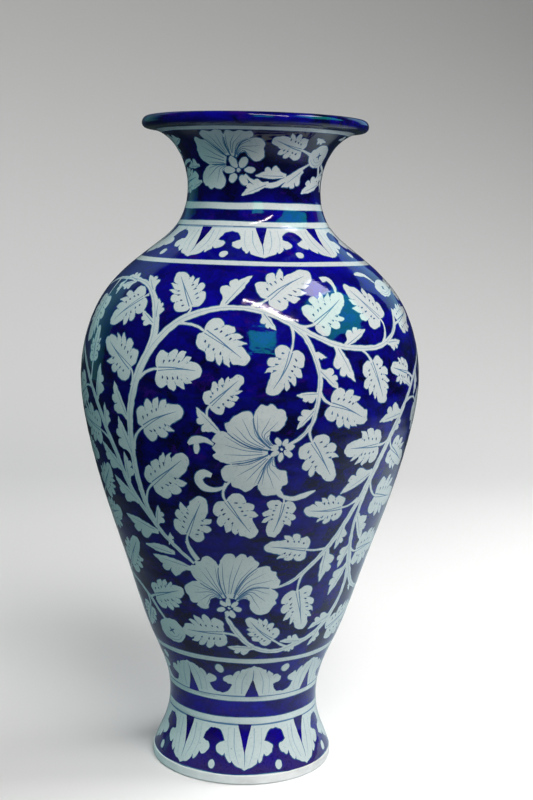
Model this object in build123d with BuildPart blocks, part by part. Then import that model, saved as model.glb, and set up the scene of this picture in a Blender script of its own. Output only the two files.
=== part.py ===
"""A tall baluster vase: a thrown clay body luted from four sections, under a slip coat and a glaze.

Millimetres, +Z up. The origin is the centre of the foot ring's underside, and the vase turns about Z.
Every sub-part is a turned slice of one half section, which is drawn with X outward and Y up.
"""

import os

from build123d import *

# Driving dimensions of the finished outside surface
height = 400.0
foot_radius = 56.6
waist_radius, waist_height = 46.5, 42.0
belly_radius, belly_height = 104.0, 242.0
neck_radius, neck_height = 40.2, 354.0
rim_radius = 68.5

# Walls and coats
wall = 7.2  # from the outside of the glaze to the inside of the glaze
glaze = 0.5
slip_coat = 0.5
floor_top = 47.0
floor_flat = 16.0  # radius of the flat middle of the floor
foot_band = 6.0  # the foot ring is left bare below this height
foot_band_step = 0.4  # the bare band stands this far proud of the glaze above it

# Joints between the thrown sections: the height of each, and the radius of the middle of its wall
foot_joint = (38.0, 41.8)
belly_joint = (240.0, 100.2)
neck_joint = (334.0, 42.6)
tongue = 2.5  # how far a joint's tongue rises into its groove
tongue_reach = 3.4  # from the middle of the tongue to its root, past either side of the wall
luting = 1.0  # thickness of the slip that joins two sections

# The recess under the foot: its radius at the ground, half way up and at the top
recess_radii = (47.5, 41.0, 38.0)

# Rounding
lip_radius = wall / 2
recess_corner = 4.0
foot_edge = 1.2

beyond = 150.0  # wider than any part of the vase
lip_x = rim_radius - lip_radius
lip_z = height - lip_radius

# Outside of the glaze, from the bare foot band up to the underside of the lip
outline = [
    (foot_radius - foot_band_step, foot_band),
    (49.9, 21.0),
    (waist_radius, waist_height),
    (50.2, 62.0),
    (58.6, 82.0),
    (73.5, 125.0),
    (88.7, 170.0),
    (99.6, 210.0),
    (belly_radius, belly_height),
    (99.6, 273.0),
    (88.6, 296.0),
    (73.6, 312.0),
    (57.4, 325.0),
    (46.2, 336.0),
    (neck_radius, neck_height),
    (42.0, 371.0),
    (48.0, 383.0),
    (56.4, 390.4),
    (lip_x, height - wall),
]
above_floor = 3  # the first outline point that has the hollow of the vase behind it
foot_direction = Vector(-0.33, 0.94)
level = Vector(1.0, 0.0)
natural = (1.0, 1.0)  # the end directions bend a curve no harder than its own length does

with BuildLine() as outside:
    Spline(*outline, tangents=[foot_direction, level], tangent_scalars=natural)


def inset_points(inset, first):
    """The outline's points from first upward, each moved square to the surface by inset."""
    points = []
    for point in outline[first:]:
        along = outside.edge().tangent_at(Vector(*point))
        points.append(Vector(*point) + Vector(-along.Y, along.X) * inset)
    return points


def outer_side(depth):
    """The outside of the vase at a depth below the glaze's surface, from the foot band to the lip."""
    points = inset_points(depth, 0)
    return Spline(*points, tangents=[foot_direction, level], tangent_scalars=natural, mode=Mode.PRIVATE)


def lip(depth):
    """The half round of the lip at a depth below the glaze's surface, from its underside to its top."""
    return CenterArc((lip_x, lip_z), lip_radius - depth, -90, 180, mode=Mode.PRIVATE)


def inner_side(depth):
    """The inside of the vase at a depth below the glaze's surface, from the flat floor to the lip."""
    start = Vector(floor_flat, floor_top - depth)
    points = inset_points(wall - depth, above_floor)
    return Spline(start, *points, tangents=[level, level], tangent_scalars=natural, mode=Mode.PRIVATE)


def floor_line(depth):
    """The flat middle of the floor at a depth below the glaze's surface."""
    return Line((0, floor_top - depth), (floor_flat, floor_top - depth), mode=Mode.PRIVATE)


def clay_sketch():
    """The half section of the whole clay body, with the recess under its foot."""
    depth = glaze + slip_coat
    side = outer_side(depth)
    recess_top = foot_joint[0] + luting
    at_ground, at_middle, at_top = recess_radii
    with BuildSketch() as clay:
        with BuildLine():
            add([side, lip(depth), inner_side(depth), floor_line(depth)])
            Polyline((0, floor_top - depth), (0, recess_top), (at_top, recess_top))
            Spline((at_top, recess_top), (at_middle, recess_top / 2), (at_ground, 0))
            Polyline((at_ground, 0), (foot_radius, 0), (foot_radius, foot_band - foot_band_step))
            Polyline((foot_radius, foot_band - foot_band_step), outline[0], side @ 0)
        make_face()
        recess_edge = clay.vertices().sort_by_distance((at_top, recess_top))[0]
        fillet(recess_edge, recess_corner)
        fillet(clay.vertices().group_by(Axis.Y)[0], foot_edge)
    return clay.sketch


def outer_glaze_sketch():
    """The glaze on the outside, from the bare foot band to the top of the lip."""
    outer, inner = outer_side(0), outer_side(glaze)
    outer_lip, inner_lip = lip(0), lip(glaze)
    with BuildSketch() as coat:
        with BuildLine():
            add([outer, outer_lip, inner, inner_lip])
            Line(outer @ 0, inner @ 0)
            Line(outer_lip @ 1, inner_lip @ 1)
        make_face()
    return coat.sketch


def inner_glaze_sketch():
    """The glaze on the inside, from the middle of the floor to the top of the lip."""
    outer, inner = inner_side(glaze), inner_side(0)
    with BuildSketch() as coat:
        with BuildLine():
            add([outer, floor_line(glaze), inner, floor_line(0)])
            Line((0, floor_top - glaze), (0, floor_top))
            Line(outer @ 1, inner @ 1)
        make_face()
    return coat.sketch


def slip_coat_sketch():
    """The slip under the glaze, from the bare foot band over the lip to the middle of the floor."""
    near, far = glaze, glaze + slip_coat
    with BuildSketch() as coat:
        with BuildLine():
            for depth in (near, far):
                add([outer_side(depth), lip(depth), inner_side(depth), floor_line(depth)])
            Line(outer_side(near) @ 0, outer_side(far) @ 0)
            Line((0, floor_top - near), (0, floor_top - far))
        make_face()
    return coat.sketch


def joint_line(joint, lift):
    """A joint from the axis out past the wall, with a tongue in the middle of the wall."""
    joint_height, middle = joint
    root = joint_height + lift
    return [
        (0, root),
        (middle - tongue_reach, root),
        (middle, root + tongue),
        (middle + tongue_reach, root),
        (beyond, root),
    ]


def between(lower, upper):
    """The region between two joint lines."""
    with BuildSketch() as region:
        with BuildLine():
            Polyline(*lower, *reversed(upper), close=True)
        make_face()
    return region.sketch


def turned(section, label):
    """A half section turned about the vase's axis."""
    with BuildPart() as piece:
        with BuildSketch(Plane.XZ):
            add(section)
        revolve(axis=Axis.Z)
    piece.part.label = label
    return piece.part


def clay_piece(clay, lower, upper, label):
    """The part of the clay body's section between two joint lines, turned."""
    with BuildSketch() as section:
        add(clay)
        add(between(lower, upper), mode=Mode.INTERSECT)
    return turned(section.sketch, label)


joints = [foot_joint, belly_joint, neck_joint]
undersides = [[(0, -1.0), (beyond, -1.0)]] + [joint_line(joint, luting) for joint in joints]
topsides = [joint_line(joint, 0) for joint in joints] + [[(0, height + 1.0), (beyond, height + 1.0)]]

clay = clay_sketch()
pieces = []
for label, lower, upper in zip(["pedestal_foot", "lower_body", "shoulder", "neck"], undersides, topsides):
    pieces.append(clay_piece(clay, lower, upper, label))
for label, lower, upper in zip(["foot_luting", "belly_luting", "neck_luting"], topsides, undersides[1:]):
    pieces.append(clay_piece(clay, lower, upper, label))
pieces.append(turned(slip_coat_sketch(), "slip_coat"))
pieces.append(turned(outer_glaze_sketch(), "outer_glaze"))
pieces.append(turned(inner_glaze_sketch(), "inner_glaze"))

os.makedirs("parts", exist_ok=True)
for piece in pieces:
    export_step(piece, f"parts/{piece.label}.step")
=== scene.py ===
"""The looks of a cobalt-and-white painted pottery vase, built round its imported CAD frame.

The painting is real geometry. Every brushed shape is an outline on the vase's unrolled skin, which has two
coordinates: the angle round the vase in degrees (0 faces the front, positive to the right) and the length
along the outside profile in millimetres, measured up from the bare foot band. Placements are written as
(angle, height) and turned into that skin. The skin is then cut along every outline and rolled up again.
"""

import math
import random

import bpy
import numpy as np
from mathutils import Matrix, Vector
from mathutils.geometry import delaunay_2d_cdt


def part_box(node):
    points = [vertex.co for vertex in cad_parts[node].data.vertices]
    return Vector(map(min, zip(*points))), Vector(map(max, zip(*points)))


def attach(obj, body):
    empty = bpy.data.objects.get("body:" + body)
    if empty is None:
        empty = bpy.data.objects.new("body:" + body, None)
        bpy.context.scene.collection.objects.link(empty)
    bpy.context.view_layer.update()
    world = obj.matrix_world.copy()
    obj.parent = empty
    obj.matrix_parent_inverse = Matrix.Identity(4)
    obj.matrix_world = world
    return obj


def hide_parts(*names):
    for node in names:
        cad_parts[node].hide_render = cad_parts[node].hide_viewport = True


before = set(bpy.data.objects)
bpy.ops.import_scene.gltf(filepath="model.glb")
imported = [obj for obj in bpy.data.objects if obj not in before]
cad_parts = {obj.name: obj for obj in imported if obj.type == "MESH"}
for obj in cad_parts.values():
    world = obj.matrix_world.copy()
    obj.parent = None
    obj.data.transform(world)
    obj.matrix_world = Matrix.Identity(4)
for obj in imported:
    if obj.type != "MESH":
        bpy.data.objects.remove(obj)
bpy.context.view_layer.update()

MM = 0.001
hand = random.Random(7)  # the painter's unsteadiness, the same on every run
between = hand.uniform  # one of the painter's random amounts, between two limits

# ---------------- the vase's outside profile


def coat_rings(node):
    """The rings of a turned coat's outward faces as (radius, height) in millimetres, lowest first."""
    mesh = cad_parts[node].data
    rings = set()
    for face in mesh.polygons:
        if face.normal.xy.dot(face.center.xy) > 0:
            for index in face.vertices:
                corner = mesh.vertices[index].co
                rings.add((round(corner.z / MM, 2), round(corner.xy.length / MM, 2)))
    return [(radius, height) for height, radius in sorted(rings)]


def spaced(points, gap):
    """The points, less any that lie closer than gap to the one kept before."""
    kept = [points[0]]
    for point in points[1:-1]:
        if math.dist(point, kept[-1]) >= gap and math.dist(point, points[-1]) >= gap:
            kept.append(point)
    return np.array(kept + [points[-1]])


def lengths(points):
    """The length along a line of points up to each of them."""
    return np.concatenate([[0], np.cumsum(np.linalg.norm(np.diff(points, axis=0), axis=1))])


def refined(points, step):
    """A smooth curve through points, sampled every step along it. Each column is one coordinate."""
    points = np.asarray(points, float)
    run = lengths(points[:, :2])
    slope = np.gradient(points, run, axis=0)
    at = np.linspace(0, run[-1], max(int(run[-1] / step) + 1, 3))
    left = np.clip(np.searchsorted(run, at, side="right") - 1, 0, len(run) - 2)
    span = (run[left + 1] - run[left])[:, None]
    t = (at - run[left])[:, None] / span
    start = points[left] * (1 + 2 * t) * (1 - t) ** 2 + slope[left] * span * t * (1 - t) ** 2
    return start + points[left + 1] * t * t * (3 - 2 * t) + slope[left + 1] * span * t * t * (t - 1)


OUTSIDE_START = 1  # the lowest ring is the coat's inner edge, so the outside starts at the next one
outside = refined(spaced(coat_rings("outer_glaze")[OUTSIDE_START:], gap=0.9), step=0.1)
skin_run = lengths(outside)
skin_top = skin_run[-1]


def run_at(height):
    """The length along the profile at a height."""
    return np.interp(height, outside[:, 1], skin_run)


def height_at(run):
    """The height at a length along the profile."""
    return np.interp(run, skin_run, outside[:, 1])


def radius_at(run):
    """The vase's radius at a length along the profile."""
    return np.interp(run, skin_run, outside[:, 0])


def degree_at(run):
    """Millimetres round the vase for one degree."""
    return radius_at(run) * math.pi / 180


# ---------------- brushwork on the unrolled skin

# Each layer holds outlines as arrays of (angle, run), with their tones. A later layer covers an earlier one.
LAYERS = ["edge", "white", "vein", "blue"]
GROUND = len(LAYERS)
painting = {layer: [] for layer in LAYERS}

# Sizes in millimetres
EDGE = 0.5  # the teal-blue edge round every white shape
OUTLINE_STEP = 0.9  # between an outline's points
STROKE_STEP = 1.3  # between a stroke's points
LOCAL_STEP = 1.1  # the same for a stroke about a local place
PETAL_STEP = 1.0  # between the points of a petal's side
RIM_STEP = 0.6  # between the points of a petal's end
SHAPE_TREMBLE = 0.26
STROKE_TREMBLE = 0.2
THINNEST_LINE = 0.12
THINNEST_HALF_VINE = 0.2
SKIN_MARGIN = 0.3  # bare strip at the skin's top and bottom

STROKE_CHUNK = 24  # points of a stroke that share one outline, so that it can cross itself
TINY = 1e-9  # added to lengths that are divided by, because they may be nothing


def sideways(line, along):
    """One millimetre to the left of a line at each of its (angle, run) points, where it heads along."""
    scale = np.stack([degree_at(line[:, 1]), np.ones(len(line))], axis=1)
    along = along * scale
    along /= np.linalg.norm(along, axis=1)[:, None] + TINY
    return np.stack([-along[:, 1], along[:, 0]], axis=1) / scale


def grown(outline, margin):
    """An outline moved outward by margin millimetres."""
    x, y = outline.T
    anticlockwise = np.sign(np.sum(x * np.roll(y, -1) - y * np.roll(x, -1)))
    along = np.roll(outline, -1, axis=0) - np.roll(outline, 1, axis=0)
    return outline - sideways(outline, along) * anticlockwise * margin


def tremble(count, amount):
    """A column of small random lengths, each near its neighbours, for a brush's uneven edge."""
    row = np.array([hand.gauss(0, amount) for _ in range(count)])
    return ((np.roll(row, 1) + 2 * row + np.roll(row, -1)) / 4)[:, None]


def paint(outline, tone=0.5):
    """Adds a white shape with its blue edge. Tone is its lightness, 0 to 1."""
    outline = np.asarray(outline, float)
    outline = grown(outline, tremble(len(outline), SHAPE_TREMBLE))
    painting["white"].append((outline, tone))
    painting["edge"].append((grown(outline, EDGE * between(0.7, 1.2)), tone))


def ribbon(left, right, outward_left, layer, tone):
    """Adds the strip between two lines, with a blue edge along each if it is white."""
    painting[layer].append((np.vstack([left, right[::-1]]), tone))
    if layer == "white":
        margin = outward_left * EDGE
        painting["edge"].append((np.vstack([left + margin, (right - margin)[::-1]]), tone))


def turned(points, heading):
    """Local (x, y) points turned anticlockwise by heading degrees. Further columns stay as they are."""
    turn = math.radians(heading)
    x, y = points[:, 0], points[:, 1]
    across, up = x * math.cos(turn) - y * math.sin(turn), x * math.sin(turn) + y * math.cos(turn)
    return np.column_stack([across, up, points[:, 2:]])


def placed(local, angle, height, heading):
    """Local points in millimetres, turned by heading and moved to an angle and a height on the skin."""
    x, y, *rest = turned(local, heading).T
    run = np.clip(run_at(height) + y, SKIN_MARGIN, skin_top - SKIN_MARGIN)
    return np.column_stack([angle + x / degree_at(run), run, *rest])


def on_skin(points):
    """(angle, height, ...) points as (angle, run, ...)."""
    points = np.array(points, float)
    points[:, 1] = run_at(points[:, 1])
    return points


def stroke(points, layer="white", tone=0.5, local=None):
    """A brush stroke through (angle, run, width) points, or through (x, y, width) about a local place."""
    if local:
        line = placed(refined(points, LOCAL_STEP), *local)
    else:
        points = np.array(points, float)
        scale = [degree_at(points[:, 1].mean()), 1, 1]
        line = refined(points * scale, STROKE_STEP) / scale
    across = sideways(line, np.gradient(line[:, :2], axis=0))
    sides = []
    for way in (1, -1):
        half = np.maximum(line[:, 2:], THINNEST_LINE) / 2
        if layer == "white":
            half = np.maximum(half + tremble(len(line), STROKE_TREMBLE), THINNEST_HALF_VINE)
        sides.append(line[:, :2] + across * half * way)
    for first in range(0, len(line) - 1, STROKE_CHUNK):
        part = slice(first, first + STROKE_CHUNK + 1)
        ribbon(sides[0][part], sides[1][part], across[part], layer, tone)
    return line


def fine_line(path, widths, tone):
    """A fine blue line along (angle, run) points. Tone is its paleness, 0 to 1."""
    stroke(np.column_stack([path, widths]), "vein", tone)


def even(outline, step):
    """A closed outline resampled so that its points are step apart."""
    closed = np.vstack([outline, outline[:1]])
    run = lengths(closed)
    at = np.linspace(0, run[-1], max(int(run[-1] / step), 8), endpoint=False)
    return np.stack([np.interp(at, run, closed[:, 0]), np.interp(at, run, closed[:, 1])], axis=1)


def bent(local, length, bend):
    """Local points curved to one side: bend is the tip's sideways move as a share of the length."""
    curved = local.copy()
    curved[:, 1] += bend * length * (local[:, 0] / length) ** 2
    return curved


def oval(x, y, long, wide, heading, samples=12):
    """An oval in local millimetres."""
    turn = np.linspace(0, 2 * math.pi, samples, endpoint=False)
    level = np.stack([long / 2 * np.cos(turn), wide / 2 * np.sin(turn)], axis=1)
    return turned(level, heading) + [x, y]


# One side of a leaf as shares of its length: two lobes and two barbs that point forward. Each is its edge out
# to its peak, its edge back to the next notch, and how often that peak is pointed. The long tip comes last.
LEAF_LOBES = [
    ([(-0.28, 0.0), (-0.34, 0.1), (-0.33, 0.25), (-0.22, 0.36)], [(-0.12, 0.355), (-0.05, 0.29)], 0.3),
    ([(-0.05, 0.29), (-0.01, 0.37), (0.09, 0.42)], [(0.15, 0.37), (0.135, 0.28)], 0.5),
    ([(0.135, 0.28), (0.22, 0.34), (0.34, 0.37)], [(0.31, 0.28), (0.27, 0.215)], 1.0),
    ([(0.27, 0.215), (0.36, 0.26), (0.48, 0.27)], [(0.445, 0.21), (0.41, 0.165)], 1.0),
]
LEAF_TIP = [(0.5, 0.18), (0.6, 0.145), (0.68, 0.08), (0.71, 0.0)]
LEAF_BASE = LEAF_LOBES[0][0][0][0]
ALL_LOBES_SHARE = 0.45  # how often a leaf's side has its last barb
SHARE_STEP = 0.02  # between an outline's points, as a share of the length
DOTS = 4  # on each side of a leaf's midrib
FIRST_DOT, DOT_GAP, DOTS_ASIDE = -0.19, 0.125, 0.12
STALK_WIDTHS = [2.2, 1.6, 1.3, 1.2, 1.4, 1.6]
PETAL_VEINS = 4


def leaf_side(side):
    """One side of a leaf, with the painter's variation, and its notches."""
    wide = between(0.82, 1.08)
    slack = 0.02

    def moved(points):
        return [(x + between(-slack, slack), y * wide + between(-slack, slack)) for x, y in points]

    notch = LEAF_LOBES[0][0][0]
    edge, notches = [], []
    lobes = LEAF_LOBES if hand.random() < ALL_LOBES_SHARE else LEAF_LOBES[:-1]
    for rise, fall, pointed in lobes:
        rise, fall = [notch] + moved(rise[1:]), moved(fall)
        if hand.random() < pointed:
            edge += [refined(rise, SHARE_STEP), refined(rise[-1:] + fall, SHARE_STEP)]
        else:
            edge.append(refined(rise + fall, SHARE_STEP))
        notch = fall[-1]
        notches.append(notch)
    edge.append(refined([notch] + moved(LEAF_TIP[:-1]) + LEAF_TIP[-1:], SHARE_STEP))
    return np.vstack(edge) * [1, side], np.array(notches) * [1, side]


def leaf(angle, height, heading, length, bend, stalk):
    """A lobed leaf about its hub, with its ribs, its dots and a stalk from an (angle, height)."""
    place = (angle, height, heading)

    def line(points, tone):
        stroke(bent(np.array(points) * [length, length, 1], length, bend), "vein", tone, place)

    left, left_notches = leaf_side(1)
    right, right_notches = leaf_side(-1)
    outline = even(bent(np.vstack([left, right[::-1]]) * length, length, bend), OUTLINE_STEP)
    paint(placed(outline, *place), between(0.3, 0.7))
    for side, weight in ((1, 0.62), (-1, 0.45)):
        line([(LEAF_BASE, 0.034 * side, weight), (0.0, 0.022 * side + 0.014, weight),
              (0.22, 0.007 * side + 0.014, weight), (0.56, 0.0, 0.2)], 0.55)
    for x, y in np.vstack([left_notches, right_notches]):
        line([(x, y, 0.5), (x * 0.98 - 0.01, y * 0.9, 0.4), (x * 0.95 - 0.02, y * 0.8, 0.15)], 0.6)
    for side in (-1, 1):
        for step in range(DOTS):
            x = FIRST_DOT + DOT_GAP * step + between(-0.02, 0.02)
            y = side * (DOTS_ASIDE + 0.02 * math.sin(step * 0.9) + between(-0.01, 0.01))
            lean = math.radians(between(50, 85))
            over, up = math.cos(lean), side * math.sin(lean)
            long = 0.045 * between(0.7, 1.4)
            pressure = ((0, 0.2), (long / 2, 0.6), (long, 1.4), (long + 0.02, 1.0))
            line([(x + at * over, y + at * up, width) for at, width in pressure], between(0.1, 0.4))
    base, ahead = placed(bent(np.array([[LEAF_BASE, 0.0], [0.0, 0.0]]) * length, length, bend), *place)
    start = on_skin([stalk])[0]
    scale = [degree_at(base[1]), 1]
    span = math.dist(start * scale, base * scale)
    pull = base - (ahead - base) / (abs(LEAF_BASE) * length) * 0.5 * span
    curve = [start * (1 - t) ** 2 + pull * 2 * t * (1 - t) + base * t * t for t in (0, 0.25, 0.5, 0.75, 1)]
    curve.append(base + (ahead - base) * 0.4)
    stroke(np.column_stack([curve, STALK_WIDTHS]))


def flower(petals, turn):
    """A fan of petals, anticlockwise. Each is given as its right edge from the heart outward and its end."""
    scale = np.array([degree_at(run_at(petals[0][0][0][1])), 1])
    edges = [refined(on_skin(edge) * scale, PETAL_STEP) for edge, _ in petals]
    for right, left, (_, end) in zip(edges, edges[1:], petals):
        rim = refined(np.vstack([right[-1:], on_skin(end) * scale, left[-1:]]), RIM_STEP)
        outline = even(np.vstack([right, rim[1:-1], left[::-1]]), OUTLINE_STEP)
        paint(outline / scale + [turn, 0], between(0.35, 0.65))
        for step in range(PETAL_VEINS):
            share = (step + between(0.4, 0.8)) / (PETAL_VEINS + 0.2)
            root, middle = (right[int(part * len(right))] * (1 - share) + left[int(part * len(left))] * share
                            for part in (0.15, 0.6))
            far = rim[int(share * len(rim))] - middle
            path = np.array([root, middle, middle + far * 0.35, middle + far * between(0.6, 0.8)])
            fine_line(path / scale + [turn, 0], [0.5, 0.45, 0.35, 0.12], between(0.45, 0.7))
    for edge in edges[1:-1]:
        path = edge[::3] / scale + [turn, 0]
        fine_line(path, np.linspace(1.1, 0.6, len(path)), 0.38)


def rosette(angle, height, reach, heading, count=7):
    """A small calyx: an uneven ring of petals about a dot."""
    for step in range(count):
        turn = heading + step * 360 / count + between(-8, 8)
        out = reach * between(0.56, 0.68)
        x, y = out * math.cos(math.radians(turn)), out * math.sin(math.radians(turn))
        petal = oval(x, y, reach * between(0.6, 0.76), reach * between(0.38, 0.48), turn, 18)
        paint(placed(petal, angle, height, 0), between(0.4, 0.7))
    paint(placed(oval(0, 0, reach * 0.24, reach * 0.24, 0), angle, height, 0))


# A sprig's outline as shares of its length: its back from root to tip, then its lobes from tip to root
SPRIG_BACK = [(0.0, 0.05), (0.25, 0.11), (0.55, 0.12), (0.8, 0.075), (1.0, 0.0)]
SPRIG_LOBES = [
    [(1.0, 0.0), (0.86, -0.07), (0.76, -0.11), (0.71, -0.1)],
    [(0.71, -0.1), (0.75, -0.19), (0.66, -0.25), (0.56, -0.2), (0.5, -0.11)],
    [(0.5, -0.11), (0.51, -0.23), (0.41, -0.3), (0.3, -0.23), (0.18, -0.09), (0.0, -0.05)],
]
SPRIG_BEND = 0.12
SHORTEST_RIBBED_SPRIG = 11


def sprig(angle, height, heading, length, side):
    """A pointed leaflet on a vine. Side 1 puts its lobes on its right, -1 on its left, 0 leaves them out."""
    place = (angle, height, heading)
    outline = [refined(SPRIG_BACK, SHARE_STEP)]
    for part in SPRIG_LOBES if side else [[(x, -y) for x, y in SPRIG_BACK[::-1]]]:
        outline.append(refined(part, SHARE_STEP)[1:])
    flip = [1, side or 1]
    local = bent(even(np.vstack(outline) * length, OUTLINE_STEP), length, SPRIG_BEND) * flip
    local *= between(0.95, 1.05)
    paint(placed(local, *place), between(0.3, 0.7))
    if length > SHORTEST_RIBBED_SPRIG:
        rib = np.array([(0.1, 0.03, 0.5), (0.4, 0.04, 0.45), (0.75, 0.02, 0.25)]) * [length, length, 1]
        stroke(bent(rib, length, SPRIG_BEND) * [*flip, 1], "vein", 0.7, place)


def bud(angle, height, heading, long, wide):
    """A round bud with a small cross at its heart and two arcs below it."""
    place = (angle, height, heading)
    samples, ripples = 48, 5
    ripple = np.linspace(0, 2 * math.pi * ripples, samples, endpoint=False) + between(0, 6)
    outline = oval(0, 0, long, wide, 0, samples) * (1 + 0.03 * np.cos(ripple))[:, None]
    paint(placed(even(outline, OUTLINE_STEP), *place))
    mark = wide * 0.16
    for turn in (20, 110):
        stroke(turned(np.array([(-mark, 0, 0.5), (0, 0.2, 1.3), (mark, 0, 0.5)]), turn), "vein", 0.3, place)
    arc = np.radians(np.linspace(200, 330, 6))
    for share in (0.55, 0.8):
        path = [long / 2 * share * np.cos(arc), wide / 2 * share * np.sin(arc), np.full(len(arc), 0.35)]
        stroke(np.stack(path, axis=1), "vein", 0.75, place)


# ---------------- lines and borders round the vase


def wavy(amount):
    """A slow hand wobble round the vase, as a function of the angle, that meets itself at the back."""
    waves = [(hand.randint(1, 9), between(0, 2 * math.pi), between(0.3, 1)) for _ in range(4)]
    total = sum(size for _, _, size in waves)

    def at(angles):
        sway = sum(size * np.sin(np.radians(angles) * cycles + phase) for cycles, phase, size in waves)
        return amount * sway / total

    return at


def ring(height, width, layer="white", tone=0.5, wobble=0.35):
    """A brushed line right round the vase at a height."""
    top, bottom = wavy(wobble), wavy(wobble)
    middle = run_at(height)
    chunk, samples = 20, 15
    for start in range(-180, 180, chunk):
        angles = np.linspace(start, start + chunk, samples)
        upper = np.stack([angles, middle + width / 2 + top(angles)], axis=1)
        lower = np.stack([angles, middle - width / 2 + bottom(angles)], axis=1)
        ribbon(lower, upper, np.array([0, -1]), layer, tone)


# The acanthus border's white edge from the middle of a pendant to the middle of the blue mushroom beside it,
# as (share of half the repeat, share of the border's depth). Each part runs between two sharp corners.
PENDANT = [
    [(0.0, 1.02), (0.1, 0.975), (0.24, 0.925), (0.34, 0.865), (0.375, 0.765)],
    [(0.375, 0.765), (0.42, 0.85), (0.51, 0.79), (0.57, 0.71), (0.585, 0.63)],
    [(0.585, 0.63), (0.65, 0.7), (0.77, 0.67), (0.875, 0.58), (0.885, 0.5), (0.82, 0.44), (0.73, 0.41),
     (0.64, 0.375)],
    [(0.64, 0.375), (0.68, 0.27), (0.77, 0.165), (0.88, 0.115), (1.0, 0.1)],
]
# The blue wedge in the middle of each pendant
WEDGE = [(0.22, -0.01), (0.19, 0.08), (0.11, 0.28), (0.055, 0.46), (0.0, 0.62)]
DOT_DEPTH = 0.9
FIXED_DEPTH = 0.3  # a pendant is stretched beyond this share of its depth
PENDANT_STEP, WEDGE_STEP = 0.035, 0.04  # between an edge's points, as shares
# The fine lines on each side of a pendant: where they start, where they end and how wide they are
PENDANT_VEINS = [(0.32, 0.15, 0.5), (0.54, 0.36, 0.25)]


def acanthus(base, tip, count, turn, dot):
    """A border of count pendants from one height to another, with white dots of a size between them."""
    half = 180 / count
    start, depth = run_at(base), run_at(tip) - run_at(base)
    for step in range(count):
        border = ((turn + step * 2 * half + 180) % 360 - 180, half, start, depth)
        stretch = between(0.96, 1.02)
        sides = []
        for side in (1, -1):
            edge = []
            for part in PENDANT:
                jitter = [(u + between(-0.015, 0.015) * (0 < u < 1),
                           v * stretch if v > FIXED_DEPTH else v) for u, v in part]
                if edge:
                    jitter[0] = edge[-1][-1]
                edge.append(refined(jitter, PENDANT_STEP))
            sides.append(np.vstack(edge) * [side, 1])
        shape = np.vstack([sides[0], [(1.0, -0.03), (-1.0, -0.03)], sides[1][::-1]])
        paint(skin_share(shape, *border), between(0.4, 0.6))
        wedge = refined(WEDGE, WEDGE_STEP) * [between(0.88, 1.08), between(0.92, 1.08)]
        wedge = np.vstack([wedge, (wedge * [-1, 1])[::-1]])
        painting["blue"].append((skin_share(wedge, *border), 0.5))
        spine = np.array([(0.0, 0.55), (0.01, 0.75), (0.0, 0.9)])
        fine_line(skin_share(spine, *border), [0.7, 0.5, 0.2], 0.5)
        for side in (-1, 1):
            for near, far, width in PENDANT_VEINS:
                sway = between(-0.03, 0.03)
                vein = np.array([(near, 0.08), ((near * 2 + far) / 3 + 0.03, 0.5), (far, 0.86)]) + [sway, 0]
                fine_line(skin_share(vein * [side, 1], *border), [width, width, width * 0.4], 0.85)
        spot = np.array([(1.0 + between(-0.06, 0.06), DOT_DEPTH)])
        angle, run = skin_share(spot, *border)[0]
        height = height_at(run)
        long, heading = dot * between(1.05, 1.25), between(60, 120)
        paint(placed(oval(0, 0, long, dot, heading, 16), angle, height, 0))


def skin_share(shape, middle, half, start, depth):
    """Points given as shares of half a border's repeat and of its depth, on the skin."""
    return np.stack([middle + shape[:, 0] * half, start + shape[:, 1] * depth], axis=1)


# ---------------- the painted design

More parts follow.
